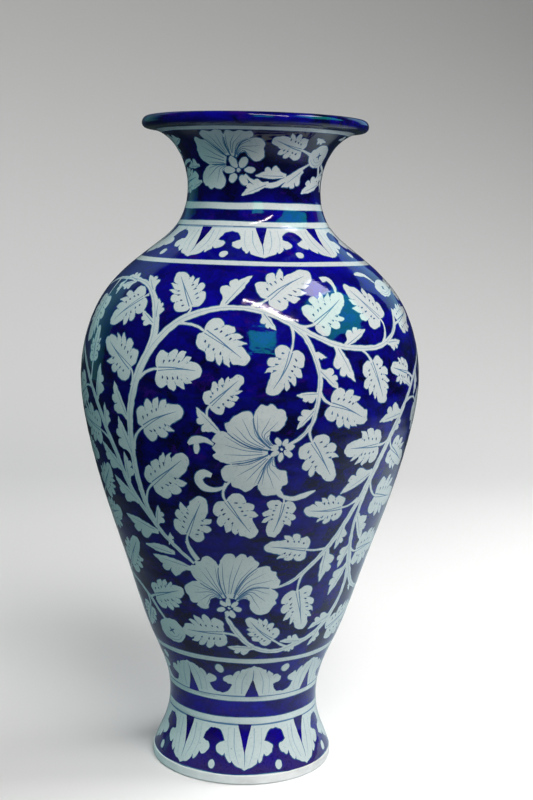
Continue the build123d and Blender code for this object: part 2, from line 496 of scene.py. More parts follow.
# Vines go through (angle, height, width). Leaves are (angle, height, heading, length, bend, stalk's start).
# Sprigs are (angle, height, heading, length, side). It is all drawn twice, on opposite sides of the vase.
FIELD_VINES = [
    # up the left side, over the top and down to the right
    [(-22, 142, 1.6), (-29, 151, 2.6), (-35, 160, 3), (-39, 172, 3.4), (-41, 186, 3.8), (-41.6, 205, 4.2),
     (-40.8, 226, 4.4), (-38.5, 245, 4.8), (-35, 262, 5), (-30, 275, 4.4), (-24, 284, 4.2),
     (-17, 289, 3.6), (-8, 291.8, 2.8), (1, 291, 3), (8, 288, 3.6), (15, 282.5, 3.6), (22, 276.5, 3.2),
     (30, 271.5, 3.2), (38, 269.8, 3), (46, 270, 3), (53, 273.5, 2.6), (59, 280.5, 2.4),
     (62.5, 290, 1.8)],
    # off to the left along the top
    [(-34.5, 264, 3.6), (-33, 276, 4.6), (-34.5, 287, 4.2), (-38.5, 296, 3.4), (-44, 301.5, 3),
     (-51, 303.8, 2.6), (-60, 304.3, 2.2), (-72, 303, 1.8), (-84, 297, 1.4)],
    # the second stem on the left
    [(-36.5, 162.5, 2.8), (-40.5, 171, 3.2), (-45, 181, 3.6), (-48.3, 192, 4), (-50.5, 204, 3.8),
     (-54, 217, 3.8), (-58, 231, 3.8), (-63, 243, 3.2), (-70, 255, 2.8), (-79, 265, 2.2), (-86, 274, 1.4)],
    # from the top down to the round flower
    [(12, 285, 3), (17.5, 277, 3), (20.5, 266, 2.8), (22, 255, 2.8), (21.6, 245, 2.8), (20.8, 236, 2.6),
     (19.5, 228, 2.2), (16.5, 221.5, 1.8), (12, 216.5, 1.4)],
    # up the right side from the fan flower
    [(14, 128.5, 1.6), (20, 131.5, 2), (26, 138, 2.6), (31, 145, 3), (35.5, 153, 3.4), (39.5, 163, 3.4),
     (43, 174, 3.4), (46.3, 185, 4), (49, 196, 4.4), (51.8, 207, 4.2), (55, 218, 4.2), (59.2, 230, 3.8),
     (64.5, 242, 3.4), (71, 253, 2.8), (79, 262, 2), (87, 272, 1.4)],
    # the loop under the fan flower
    [(-9, 108.5, 1.8), (-6.5, 103, 3), (-2, 95.5, 3.2), (3, 90, 3), (9, 86.5, 2.8), (16, 85, 2.8),
     (23, 86, 3), (30, 88.8, 3.8), (38, 92, 3.4), (45, 97.5, 3.8), (50.2, 105, 4), (53.6, 114, 3.2),
     (54.3, 124, 3), (52.6, 133, 3), (49.8, 143, 3.4), (47.5, 153, 3), (46.2, 163, 2.6),
     (46.3, 174, 2.6), (48, 188, 2.4)],
    # off to the lower right
    [(47.5, 152, 2.4), (50.5, 143, 3), (54, 133.5, 3.2), (59, 125, 3.2), (66, 119, 2.8), (76, 116, 2.4),
     (88, 118, 2.2), (98, 121, 2.4), (110, 121.5, 2.6), (118, 118, 2.6), (125, 112, 2.6), (130, 104.5, 2.4),
     (134, 99, 1.8)],
    # up the side of the vase, between the two halves of the design
    [(100, 121.5, 2.4), (97, 130, 3), (95.4, 142, 3.4), (95.5, 155, 3.6), (96.5, 168, 3.4),
     (97.4, 181, 3.2), (97, 194, 2.8), (94.8, 206, 2.4), (92.5, 216, 1.8)],
    # the stalk of the leaf above the fan flower
    [(-20, 144.5, 3), (-22.5, 150, 2.6), (-24, 156, 2)],
    # hooks
    [(-6, 195, 1), (-8, 191.5, 1.6), (-11.5, 189.8, 2.6), (-15, 191.2, 4.4), (-16.6, 195.5, 5),
     (-14.5, 199.2, 4.6), (-12, 198.2, 2.4)],
    [(8.5, 191.5, 1), (11.5, 187, 2), (16, 185, 3), (20.5, 187, 3.2), (24, 189.3, 0.6)],
    [(33, 298, 1.2), (34, 304, 2.4), (32.5, 307.5, 3.6), (29.3, 307, 3.8)],
    [(61.5, 304.5, 1.2), (58, 308.6, 2.6), (54, 309.6, 3.4), (50.5, 309.4, 1)],
    [(-11, 216.5, 1.4), (-14, 219, 3.4), (-17.3, 218.3, 4.6), (-19.3, 216, 1.6)],
    [(-16.6, 218, 2.6), (-16.6, 213.5, 3.2), (-16.8, 210.5, 1)],
]
FIELD_LEAVES = [
    (-47.3, 290.8, 219, 28, 0.1, (-41, 296.5)), (-24, 297.5, 121, 28, 0.12, (-23.5, 285)),
    (-44.5, 260.5, 147, 30.5, 0.1, (-39.5, 246)), (-25.3, 257.2, 2, 27, -0.06, (-36.5, 251)),
    (-10.7, 274.1, 326, 30, 0.02, (-25.5, 282)), (-8.9, 243.4, 42, 24, 0.08, (-9, 223)),
    (-31.2, 227.2, 28, 29, -0.12, (-40.5, 209)), (-30.1, 194.6, 37, 32, 0.1, (-39.5, 177)),
    (-20.5, 167.3, 64, 28, 0.06, (-23.5, 154)), (-4.8, 176.5, 303, 28, 0.1, (-7, 194)),
    (12, 176.1, 258, 22.5, -0.05, (10.5, 190)), (32, 176.3, 181, 25, -0.08, (44, 181)),
    (19.5, 153.5, 170, 26, 0.12, (34, 151.5)), (23.1, 211.2, 304, 29, 0.04, (19.3, 227)),
    (43.6, 213, 179, 26.5, 0.05, (54, 215)), (30.1, 237, 340, 28, -0.08, (22, 246)),
    (11.1, 261.8, 246, 27, -0.14, (13, 284.5)), (10.8, 301.5, 38, 33, -0.1, (0, 292.5)),
    (25.8, 287.8, 35, 29, 0.12, (14, 284)), (47.8, 291, 130, 29, -0.06, (49, 271.5)),
    (43.5, 254.8, 292, 26.5, 0.1, (32, 270.5)), (59.3, 254.8, 165, 20, 0.08, (68, 249)),
    (68, 284, 12, 26, 0.06, (60, 281.5)), (61.5, 205, 332, 28, 0.1, (55, 218)),
    (60.5, 178, 348, 31, 0.12, (48.5, 191)), (61, 145.5, 2, 30, -0.08, (48.5, 149)),
    (60, 97, 20, 30, 0.08, (50.5, 104)), (26.2, 117, 286, 29, 0.05, (27, 139)),
    (10.5, 97.5, 138, 22, -0.1, (24, 87.5)), (-18, 97.3, 182, 27, 0.04, (-3, 96)),
    (-43.5, 117, 18, 26.5, 0.1, (-54.5, 112)), (-61.5, 136.5, 44, 30, 0.08, (-74, 123)),
    (-69, 162, 12, 24, 0.1, (-84.5, 150)), (-65, 183, 40, 25, 0.08, (-84, 167)),
    (-64, 218, 168, 30, 0.06, (-52.5, 211)), (-70, 285, 262, 29, 0.06, (-69, 303)),
    (-62.5, 262.5, 94, 20, 0.0, (-63.3, 244)), (-72, 237, 205, 26, 0.08, (-61, 240)),
    (77, 228, 320, 32, 0.08, (61, 235)), (80, 301, 8, 24, -0.08, (69, 298)),
    (86, 177, 186, 20, 0.06, (95.8, 169)), (83, 250, 285, 25, 0.06, (82, 266)),
    (87, 97, 200, 17.5, 0.08, (93, 119)), (103, 103, 262, 19, 0.08, (105, 121.5)),
    (119, 101, 235, 19, 0.08, (122, 115)), (86, 138.5, 197, 22, -0.08, (95.5, 148)),
    (86, 199, 160, 24, 0.08, (97, 188)), (106, 201, 345, 20, 0.08, (98, 186)),
]
FIELD_SPRIGS = [
    (-33.5, 283.5, 97, 14, 1), (-34, 280.5, 150, 14, -1), (-39.5, 298.5, 128, 15, 1),
    (-52, 303.5, 163, 15, 1), (-53, 303, 205, 14, -1), (-41.8, 226, 124, 24, -1), (-41.8, 204, 116, 24, -1),
    (-48.8, 194, 146, 24, -1), (-46.2, 188, 82, 18, 1), (-43.5, 175.5, 150, 23, -1),
    (-36.5, 159, 172, 29, -1), (-30.5, 147, 168, 22, 0), (-23.5, 138.5, 176, 27, -1), (-32.5, 152, 66, 9, 1),
    (-36.5, 163, 68, 15, 1), (-54, 218, 80, 15, 1), (-58, 234, 76, 21, 1), (-9, 223, 140, 20, -1),
    (-10.5, 292, 64, 27, -1), (3.5, 290, 300, 14, 1), (28, 272, 293, 23, 1), (20, 268.5, 332, 9, 1),
    (21.6, 259.5, 322, 17, -1), (22, 245.5, 188, 14, -1), (20.6, 237.5, 222, 15, 1),
    (31.5, 271.5, 34, 20, -1), (51.5, 271.5, 355, 15, 1), (60, 230.5, 182, 25, 1), (48.2, 197.5, 202, 25, 1),
    (40.5, 165, 268, 16, -1), (34.8, 151.5, 278, 24, -1), (46.5, 171, 306, 23, -1), (48, 153, 248, 18, 1),
    (50.6, 138.5, 240, 23, 1), (50.5, 104.5, 196, 19, 1), (44.5, 96.5, 252, 13, -1), (33, 90.5, 168, 14, 1),
    (30, 88.5, 222, 9, -1), (6, 87.5, 184, 17, -1), (60.5, 123.5, 282, 8, 1), (55.6, 218.5, 52, 14, 1),
    (66, 244.5, 150, 15, 1), (72, 254, 262, 17, -1), (78, 116.5, 60, 14, 1), (107, 121.5, 100, 13, -1),
    (-78, 263.5, 285, 14, 1), (-62, 303.5, 262, 12, 1), (95.5, 160, 150, 17, 1), (96, 134, 30, 15, 1),
    (92.6, 214, 98, 18, 1), (97.2, 176, 20, 12, 1),
]
# Petals anticlockwise round each flower, as (right edge from the heart outward, end). The last has no end
ROUND_FLOWER = [
    ([(8.4, 215.6), (6.3, 221.8), (6.7, 225)],
     [(8.6, 225.2), (11, 229), (11.4, 233.6), (10.1, 237.3), (8.3, 237.6), (7.8, 239.4), (6.6, 240.5),
      (5.4, 239.1), (3.9, 240), (2.5, 238.1), (1.6, 234.4)]),
    ([(7.2, 215), (4.8, 218.1), (2.5, 223.9), (1.6, 228.6), (1.3, 233.4)],
     [(0.7, 235.5), (-0.5, 236.4), (-2.8, 234.9), (-5.2, 232.3), (-6, 230.2), (-7.2, 228.6), (-6.8, 225)]),
    ([(6, 213.9), (1, 215.5), (-2.8, 218.6), (-5.5, 221.8), (-6.5, 223.4)],
     [(-8.1, 224.3), (-10.2, 222.8), (-11.4, 218.8), (-10.3, 217.2), (-11.5, 214.9), (-10.3, 212),
      (-11.3, 210.2), (-9.3, 207.3), (-7.2, 205.9)]),
    ([(6.3, 211.3), (2.5, 208.4), (-1.1, 206.5), (-5.2, 205.5)],
     [(-8.1, 203.3), (-8.7, 198.6), (-7.5, 195.2), (-5.8, 195), (-4.9, 192.3), (-2.5, 191), (-1.1, 189.5),
      (1, 190.5), (2.2, 192.8)]),
    ([(7.8, 210.2), (5.7, 205.5), (4.7, 199.7), (3.4, 194)],
     [(3.8, 191.3), (5.1, 187.8), (8.1, 187.4), (11, 189), (11.6, 192.6), (13.2, 193.9), (13.3, 197.1),
      (12.1, 201.8), (10.3, 202.3)]),
    ([(8.4, 209.7), (8.5, 206.8), (8.9, 204.4)], None),
]
FAN_FLOWER = [
    ([(-4, 119.2), (-1.9, 121), (0.3, 121.4), (2.3, 120)],
     [(2.6, 116), (4.2, 112.3), (8.1, 110.5), (12, 112.6), (12.6, 115.2), (14.9, 118.4), (13.9, 120.2),
      (15, 121.6), (15, 124.4)]),
    ([(-4, 120.2), (-1.9, 123.4), (1.7, 127.1), (6.4, 128.5), (12.4, 127.6)],
     [(14.5, 128.4), (15.2, 130.8), (14.9, 133.4), (13.3, 135.8), (12.9, 138.6), (10.9, 139.5), (9.9, 142),
      (8.1, 142.4), (6.4, 142)]),
    ([(-5.1, 121.3), (-3.6, 127.1), (-1.1, 132.8), (2.4, 138.6), (4.7, 141.2)],
     [(5.4, 144.7), (3.9, 146.8), (1.8, 149.6), (0.6, 148), (-0.4, 149.9), (-1.9, 150.5), (-3.5, 149.3),
      (-4.3, 147.2), (-4.9, 149.7), (-6.9, 150.3), (-9, 148.6), (-10.3, 145.5)]),
    ([(-8.6, 121.3), (-10.8, 127.6), (-11.5, 132.8), (-11.7, 138.6), (-11.4, 141.8)],
     [(-12.4, 144.4), (-14, 146.7), (-16.1, 147.7), (-17.9, 146.7), (-19, 144), (-21.7, 143.8),
      (-21.5, 141.3), (-23.5, 140.7), (-24.4, 137.6), (-23.5, 133.9)]),
    ([(-10.6, 120.8), (-12.6, 124.4), (-16.1, 126.5), (-19.7, 128.9), (-21.5, 130.7)],
     [(-24, 130.2), (-26.9, 127.9), (-28.8, 124.4), (-28.3, 121.8), (-26.8, 119.7), (-26.7, 117.3),
      (-24.4, 115.8), (-22.7, 116.4), (-23.4, 114.8), (-21.5, 113.2), (-17.9, 113.2)]),
    ([(-10.8, 120.2), (-14, 121), (-16.1, 119.7), (-17, 116.5)], None),
]
NECK_FLOWER = [
    ([(-14, 375.4), (-10, 378.1), (-7, 378.5), (-5.5, 376.3)],
     [(-2.5, 374.5), (2, 373.2), (6, 375.3), (7, 378.1), (6.1, 380.4), (6.8, 382.6), (4.5, 385.2),
      (0, 386.1)]),
    ([(-15.5, 375.4), (-13.5, 379), (-10, 383.1), (-4.5, 385.4)],
     [(-1.6, 387.9), (-2.5, 389.5), (-7, 389.3), (-10, 390), (-13.3, 389), (-17, 389.9)]),
    ([(-18.5, 376.3), (-20.5, 379.9), (-21.3, 384), (-20.4, 387.6)],
     [(-21.5, 389.9), (-24.5, 390.2), (-28, 389.2), (-33, 389.9), (-37.4, 388.1)]),
    ([(-22, 375.8), (-27, 379), (-32, 382.2), (-35.6, 384.9)],
     [(-39, 384.9), (-42.5, 386.4), (-45.3, 384.9), (-45.7, 382.4), (-47.5, 378.5), (-46.5, 374.5),
      (-42.5, 372.4)]),
    ([(-23.5, 371.3), (-32, 371), (-39, 371)],
     [(-43.5, 368.7), (-48, 364.5), (-48.5, 362), (-45.5, 359.2), (-42, 358.8), (-39.5, 357.1), (-35, 358.1),
      (-30, 357.1), (-26, 358.5), (-24.4, 361.7), (-25.2, 364)]),
    ([(-23, 369.9), (-25.5, 368.1), (-26.8, 366.3)], None),
]
SHORTEST_LINED_VINE = 30  # in points
INNER_LINE_SHIFT = 0.0875  # degrees to the left for each millimetre of the vine's width


def painted(turn, vines, leaves, sprigs, flowers, buds, lined):
    """One half of a design, turned about the vase. Lined gives its vines a fine inner line."""
    for vine in vines:
        line = stroke(on_skin(vine) + [turn, 0, 0])
        if lined and len(line) > SHORTEST_LINED_VINE:
            inner_line(line)
    for angle, height, heading, length, bend, (stalk_angle, stalk_height) in leaves:
        leaf(angle + turn, height, heading, length, bend, (stalk_angle + turn, stalk_height))
    for angle, *rest in sprigs:
        sprig(angle + turn, *rest)
    for petals, (angle, *rest) in flowers:
        flower(petals, turn)
        rosette(angle + turn, *rest)
    for angle, *rest in buds:
        bud(angle + turn, *rest)


def inner_line(line):
    """The fine blue line inside a vine, nearer its left edge."""
    part = line[3:-6:3]  # every third point, clear of both ends
    path = [(angle - width * INNER_LINE_SHIFT, run) for angle, run, width in part]
    fine_line(path, np.full(len(part), 0.32), 0.9)


NECK_VINES = [
    [(-8, 365.5, 1.2), (-2, 362, 2), (6, 360, 2.6), (16, 360, 2.8), (26, 363, 2.6), (36, 367.5, 2.4),
     (43, 370.5, 1.8), (48, 372.5, 1.4)],
    [(63, 371.5, 1.6), (67, 366, 2.4), (70, 362.5, 1.6)],
    [(67, 372.5, 1.6), (76, 369.5, 2.2), (86, 368.5, 2.4), (96, 370, 2.2), (108, 373, 1.8), (118, 374, 1.4)],
]
NECK_LEAVES = [
    (28, 381.7, 163, 22, -0.08, (47, 377.5)), (92, 382, 30, 21, 0.08, (84, 370)),
    (106, 361, 12, 20, 0.08, (92, 368)),
]
NECK_SPRIGS = [
    (12, 361, 199, 17.5, 1), (26.5, 365.5, 175, 18.5, 1), (43, 368.5, 222, 17, -1), (44, 387, 340, 10, 1),
    (70, 362, 192, 21, 1), (76, 369, 214, 12, -1), (80, 369, 250, 13, 1), (118, 386, 190, 15, 1),
    (-50, 370.5, 176, 13, 1), (-50, 361.5, 196, 13, 1), (70, 388, 8, 11, -1),
]
# Each flower has its calyx as (angle, height, reach, heading, petals).
# Buds are (angle, height, heading, long, wide).
FIELD_FLOWERS = [(ROUND_FLOWER, (10.6, 214.5, 7.6, 12)), (FAN_FLOWER, (-7.4, 114.5, 7.2, 90))]
FIELD_BUDS = [(-43.5, 93, 10, 21, 17), (66.5, 301.5, 8, 22, 12), (91, 281, 80, 19, 15)]
NECK_FLOWERS = [(NECK_FLOWER, (-13, 368, 9.8, 60, 6))]
NECK_BUDS = [(57, 377.5, 5, 18, 15)]

for half_turn in (0, 180):
    painted(half_turn, FIELD_VINES, FIELD_LEAVES, FIELD_SPRIGS, FIELD_FLOWERS, FIELD_BUDS, lined=True)
    painted(half_turn, NECK_VINES, NECK_LEAVES, NECK_SPRIGS, NECK_FLOWERS, NECK_BUDS, lined=False)

# Lines as (height, width, layer, tone, wobble), borders as (base, tip, count, turn, dot's width)
ring(391.3, 4.0)
ring(347.5, 3.8)
ring(337.2, 3.2)
ring(335.2, 0.9, "vein", 0.8, 0.2)
acanthus(335.0, 318.6, 9, 5.5, 4.6)
ring(315.3, 3.5)
ring(78.3, 3.3)
acanthus(52.8, 74.0, 8, 6.5, 5.2)
ring(51.2, 3.0)
ring(52.9, 0.8, "vein", 0.6, 0.3)
ring(37.1, 3.6)
acanthus(34.6, 8.4, 8, 2.0, 4.5)
ring(34.7, 0.9, "vein", 0.55, 0.3)
ring(5.9, 0.3, "white", 0.3, 0.9)

# ---------------- the skin, cut along the painting

FLAT = 1.3  # millimetres on the flattened skin for a degree round the vase
SEAM = 180  # the back of the vase, where the skin is unrolled
GRID_ANGLES = np.arange(-SEAM, SEAM + 1, 2.0)
SAME_POINT = 1e-4  # points nearer to each other than this are one point of the cut skin
LIP_ROLL = 14  # length of skin that goes round the lip's tight curve
GRID_RUNS = np.concatenate([
    np.arange(0, 3, 1),  # closer together at the foot band's edge
    np.arange(3, skin_top - LIP_ROLL, 2.5),
    np.arange(skin_top - LIP_ROLL, skin_top - 0.3, 0.6),  # and closest round the lip
    [skin_top],
])


def wrapped(outline):
    """The outline's copies, a whole turn apart, that show between the two sides of the seam."""
    copies = [outline + [turn, 0] for turn in (-360, 0, 360)]
    return [copy for copy in copies if copy[:, 0].max() > -SEAM and copy[:, 0].min() < SEAM]


def cut_skin():
    """The flattened skin's points, as (angle, run), and its triangles, cut along every outline."""
    bottom = [(angle, 0.0) for angle in GRID_ANGLES]
    right = [(SEAM, run) for run in GRID_RUNS[1:]]
    top = [(angle, skin_top) for angle in GRID_ANGLES[-2::-1]]
    left = [(-SEAM, run) for run in GRID_RUNS[-2:0:-1]]
    loops = [np.array(bottom + right + top + left)]
    for layer in LAYERS:
        for outline, _ in painting[layer]:
            loops.extend(wrapped(outline))
    edges, first = [], 0
    for loop in loops:
        edges += [(first + index, first + (index + 1) % len(loop)) for index in range(len(loop))]
        first += len(loop)
    grid = np.stack(np.meshgrid(GRID_ANGLES[1:-1], GRID_RUNS[1:-1]), axis=-1).reshape(-1, 2)
    points = np.vstack(loops + [grid])
    points[:, 1] = np.clip(points[:, 1], 0, skin_top)
    flat = [Vector((angle * FLAT, run)) for angle, run in points]
    cut, _, triangles, *_ = delaunay_2d_cdt(flat, edges, [], 0, SAME_POINT, False)
    points = np.array([(point.x / FLAT, point.y) for point in cut])
    triangles = np.array(triangles)
    inside = np.abs(points[triangles].mean(axis=1)[:, 0]) < SEAM
    return points, triangles[inside]


def winding(spots, outline):
    """How many times an outline goes round each spot."""
    x, y = spots[:, :1], spots[:, 1:]
    x0, y0 = outline.T
    x1, y1 = np.roll(outline, -1, axis=0).T
    side = (x1 - x0) * (y - y0) - (x - x0) * (y1 - y0)
    upward = (y0 <= y) & (y1 > y) & (side > 0)
    downward = (y0 > y) & (y1 <= y) & (side < 0)
    return upward.sum(axis=1) - downward.sum(axis=1)


def shown(centres):
    """The layer that shows at each centre, as its place in LAYERS or GROUND, and its tone."""
    order = np.argsort(centres[:, 0])
    angles = centres[order, 0]
    layers, tones = np.full(len(centres), GROUND), np.full(len(centres), 0.5)
    for level, layer in enumerate(LAYERS):
        for outline, tone in painting[layer]:
            for copy in wrapped(outline):
                low, high = copy.min(axis=0), copy.max(axis=0)
                near = order[slice(*np.searchsorted(angles, [low[0], high[0]]))]
                near = near[(centres[near, 1] > low[1]) & (centres[near, 1] < high[1])]
                near = near[winding(centres[near], copy) != 0]
                if layer == "vein":
                    near = near[(layers[near] != GROUND) & (layers[near] != LAYERS.index("edge"))]
                layers[near] = level
                tones[near] = tone
    return layers, tones


# ---------------- the skin, rolled up again

FADE_LENGTH = 10  # length of skin over which it comes down to the CAD's shape at either end


def hand_thrown(turn, height):
    """How far the hand-thrown wall stands proud of its turned shape, in millimetres."""
    slow = np.sin(2 * turn + height * 0.012 + 0.6) + 0.6 * np.sin(3 * turn - height * 0.019 + 2.1)
    slow += 0.5 * np.sin(5 * turn + height * 0.031 + 4.0)
    rings = np.sin(height * 0.55 + 0.8 * np.sin(turn + 1.0))
    rings += 0.5 * np.sin(height * 0.93 - 0.6 * np.sin(2 * turn))
    thickness, slow_sway, ring_depth = 0.35, 0.13, 0.035
    return thickness + slow_sway * slow + ring_depth * rings


def rolled(angle, run):
    """Where points of the skin are, in metres."""
    turn = np.radians(angle)
    height = height_at(run)
    fade = np.clip(np.minimum(run, skin_top - run) / FADE_LENGTH, 0, 1)
    fade = fade * fade * (3 - 2 * fade)
    radius = radius_at(run) + hand_thrown(turn, height) * fade
    return np.stack([radius * np.sin(turn), -radius * np.cos(turn), height], axis=1) * MM


def outward(angle, run, step=0.4):
    """The skin's outward direction at points."""
    across = rolled(angle + step, run) - rolled(angle - step, run)
    up = rolled(angle, np.minimum(run + step, skin_top)) - rolled(angle, np.maximum(run - step, 0))
    normal = np.cross(across, up)
    return normal / np.linalg.norm(normal, axis=1)[:, None]


def added(name, data):
    """A new object in the scene."""
    made = bpy.data.objects.new(name, data)
    bpy.context.scene.collection.objects.link(made)
    return made


def skin_piece(name, corners, tones, material):
    """A piece of the skin from its triangles' corners as (angle, run). It keeps each triangle's tone."""
    flat = np.round(corners.reshape(-1, 2), 5)
    flat[flat[:, 0] >= SEAM, 0] -= 360
    unique, index = np.unique(flat, axis=0, return_inverse=True)
    mesh = bpy.data.meshes.new(name)
    mesh.from_pydata(rolled(*unique.T).tolist(), [], index.reshape(-1, 3).tolist())
    mesh.attributes.new("tone", "FLOAT", "FACE").data.foreach_set("value", tones.astype(np.float32))
    mesh.polygons.foreach_set("use_smooth", np.ones(len(mesh.polygons), bool))
    mesh.normals_split_custom_set_from_vertices(outward(*unique.T).tolist())
    mesh.materials.append(material)
    skin = added(name, mesh)
    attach(skin, "root")
    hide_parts("outer_glaze")


# ---------------- materials


class Recipe:
    """A material's node tree, written with short calls. A value may be a number, a colour or an output."""

    def __init__(self, name):
        self.material = bpy.data.materials.new(name)
        self.material.use_nodes = True
        self.tree = self.material.node_tree
        self.tree.nodes.clear()
        self.place = self.node("TexCoord").outputs["Object"]

    def node(self, kind, inputs=None, **settings):
        """A new node. Inputs are given by name or by number."""
        made = self.tree.nodes.new("ShaderNode" + kind)
        for name, value in settings.items():
            setattr(made, name, value)
        for name, value in (inputs or {}).items():
            socket = made.inputs[name]
            if isinstance(value, bpy.types.NodeSocket):
                self.tree.links.new(value, socket)
            elif isinstance(value, tuple) and socket.type == "RGBA":
                socket.default_value = (*value, 1.0)
            else:
                socket.default_value = value
        return made

    def parts(self):
        """The place's X, Y and Z in metres."""
        return self.node("SeparateXYZ", {"Vector": self.place}).outputs

    def noise(self, scale, detail=4.0, rough=0.5, stretch=(1, 1, 1), distort=0.0):
        """Soft noise from 0 to 1 whose scale is in features per metre."""
        shift = self.node("Mapping", {"Vector": self.place, "Scale": stretch})
        inputs = {"Vector": shift.outputs[0], "Scale": scale, "Detail": detail, "Roughness": rough,
                  "Distortion": distort}
        return self.node("TexNoise", inputs).outputs[0]

    def cells(self, scale):
        """The distance to the nearest of many scattered points."""
        return self.node("TexVoronoi", {"Vector": self.place, "Scale": scale}).outputs["Distance"]

    def ramp(self, value, low, high, start=0.0, end=1.0):
        """Value mapped smoothly from low..high to start..end."""
        inputs = {"Value": value, "From Min": low, "From Max": high, "To Min": start, "To Max": end}
        return self.node("MapRange", inputs, interpolation_type="SMOOTHSTEP").outputs[0]

    def math(self, operation, total, *others):
        """Values combined one after the other by an operation."""
        for other in others:
            total = self.node("Math", {0: total, 1: other}, operation=operation).outputs[0]
        return total

    def mix(self, share, first, second):
        """Two colours mixed."""
        return self.node("Mix", {0: share, 6: first, 7: second}, data_type="RGBA").outputs[2]

    def flecks(self, colour, tint, noise, low, high, most):
        """A colour with a tint over it where a noise is strong: from none at low up to most at high."""
        return self.mix(self.ramp(self.noise(*noise), low, high, 0.0, most), colour, tint)

    def tone(self):
        """The tone kept on each triangle of the painting."""
        return self.node("Attribute", attribute_name="tone").outputs["Fac"]

    def bump(self, height, distance, onto=None):
        """A relief of a height times a distance in metres, on top of another relief."""
        inputs = {"Height": height, "Distance": distance}
        if onto:
            inputs["Normal"] = onto
        return self.node("Bump", inputs).outputs[0]

    def finish(self, colour, roughness, **more):
        """Ends the tree in a principled surface. Underscores in an input's name stand for spaces."""
        inputs = {"Base Color": colour, "Roughness": roughness}
        inputs.update({name.replace("_", " "): value for name, value in more.items()})
        surface = self.node("BsdfPrincipled", inputs)
        self.node("OutputMaterial", {0: surface.outputs[0]})
        return self.material


def glazed(recipe, colour):
    """Ends a material as painted pottery under a clear, slightly uneven glaze."""
    swell = recipe.bump(recipe.noise(38, 2, 0.4), 0.0005)
    swell = recipe.bump(recipe.noise(160, 2, 0.5, (1, 1, 1.6)), 0.00006, swell)
    peel = recipe.bump(recipe.noise(900, 2, 0.5), 0.000008, swell)
    film = recipe.ramp(recipe.noise(70, 3), 0.35, 0.75, 0.03, 0.08)
    return recipe.finish(colour, 0.4, Coat_Weight=1.0, Coat_Roughness=film, Coat_IOR=1.5, Normal=swell,
                         Coat_Normal=peel, Specular_IOR_Level=0.0)


def cobalt():
    """Deep brushed cobalt: navy where it is thick, clear blue where it is thin, with violet flecks.

    Painted light makes it clearer on the shoulder and the flared foot, which face up to the lamps, and
    painted shade makes it darker on the neck under the lip and on the left side.
    """
    navy, clear_blue = (0.0005, 0.001, 0.02), (0.0028, 0.0015, 0.29)
    violet_tint, worn_tint = (0.024, 0.003, 0.15), (0.045, 0.03, 0.14)
    dark_speck, bright_speck = (0.0008, 0.0022, 0.035), (0.008, 0.009, 0.34)
    # heights in metres: painted light at the shoulder and foot, painted shade on the neck, wear at the bottom
    belly_top, shoulder_top, foot_zone = (0.24, 0.31), (0.33, 0.36), (0.02, 0.1)
    neck_foot, lip_edge, worn_zone = (0.345, 0.362), (0.392, 0.395), (0.01, 0.032)
    left_half = (-0.07, -0.02)

    recipe = Recipe("brushed_cobalt")
    height = recipe.parts()["Z"]
    # Painted light: the cobalt is clearer on the shoulder and the flared foot, which face up to the lamps
    shoulder = recipe.ramp(height, *shoulder_top, 1.0, 0.0)
    shoulder = recipe.math("MULTIPLY", recipe.ramp(height, *belly_top), shoulder)
    foot = recipe.ramp(height, *foot_zone, 0.75, 0.1)
    cloud = recipe.ramp(recipe.noise(26, 6, 0.62, (1, 1, 1.4), 0.8), 0.4, 0.6, 0.0, 0.44)
    streak = recipe.ramp(recipe.noise(105, 5, 0.65, (0.8, 0.8, 1.3), 0.8), 0.4, 0.62)
    strokes = recipe.math("ADD", cloud, recipe.math("MULTIPLY", streak, 0.38), -0.11)
    lit_zones = recipe.math("MULTIPLY", recipe.math("MAXIMUM", shoulder, foot), 0.42)
    # Painted shade: darker on the neck under the lip, and on the left side, away from the key lamp
    neck = recipe.math("MAXIMUM", recipe.ramp(height, *neck_foot, 1.0, 0.25), recipe.ramp(height, *lip_edge))
    left_shade = recipe.ramp(recipe.parts()["X"], *left_half, 0.5, 1.0)
    thinness_and_painted_light = recipe.math("MULTIPLY", recipe.math("ADD", strokes, lit_zones), neck, left_shade)
    colour = recipe.mix(thinness_and_painted_light, navy, clear_blue)
    violet = recipe.ramp(recipe.noise(60, 6, 0.7, (1, 1, 1.5), 0.6), 0.55, 0.68, 0.0, 0.8)
    violet = recipe.math("MAXIMUM", violet, recipe.math("MULTIPLY", foot, 0.3))
    colour = recipe.mix(violet, colour, violet_tint)
    ragged = recipe.math("ADD", height, recipe.math("MULTIPLY", streak, 0.006))
    colour = recipe.mix(recipe.ramp(ragged, *worn_zone, 0.75, 0.0), colour, worn_tint)
    colour = recipe.flecks(colour, dark_speck, (560, 4, 0.75), 0.52, 0.68, 0.7)
    colour = recipe.flecks(colour, bright_speck, (800, 3, 0.7), 0.6, 0.72, 0.45)
    return glazed(recipe, colour)


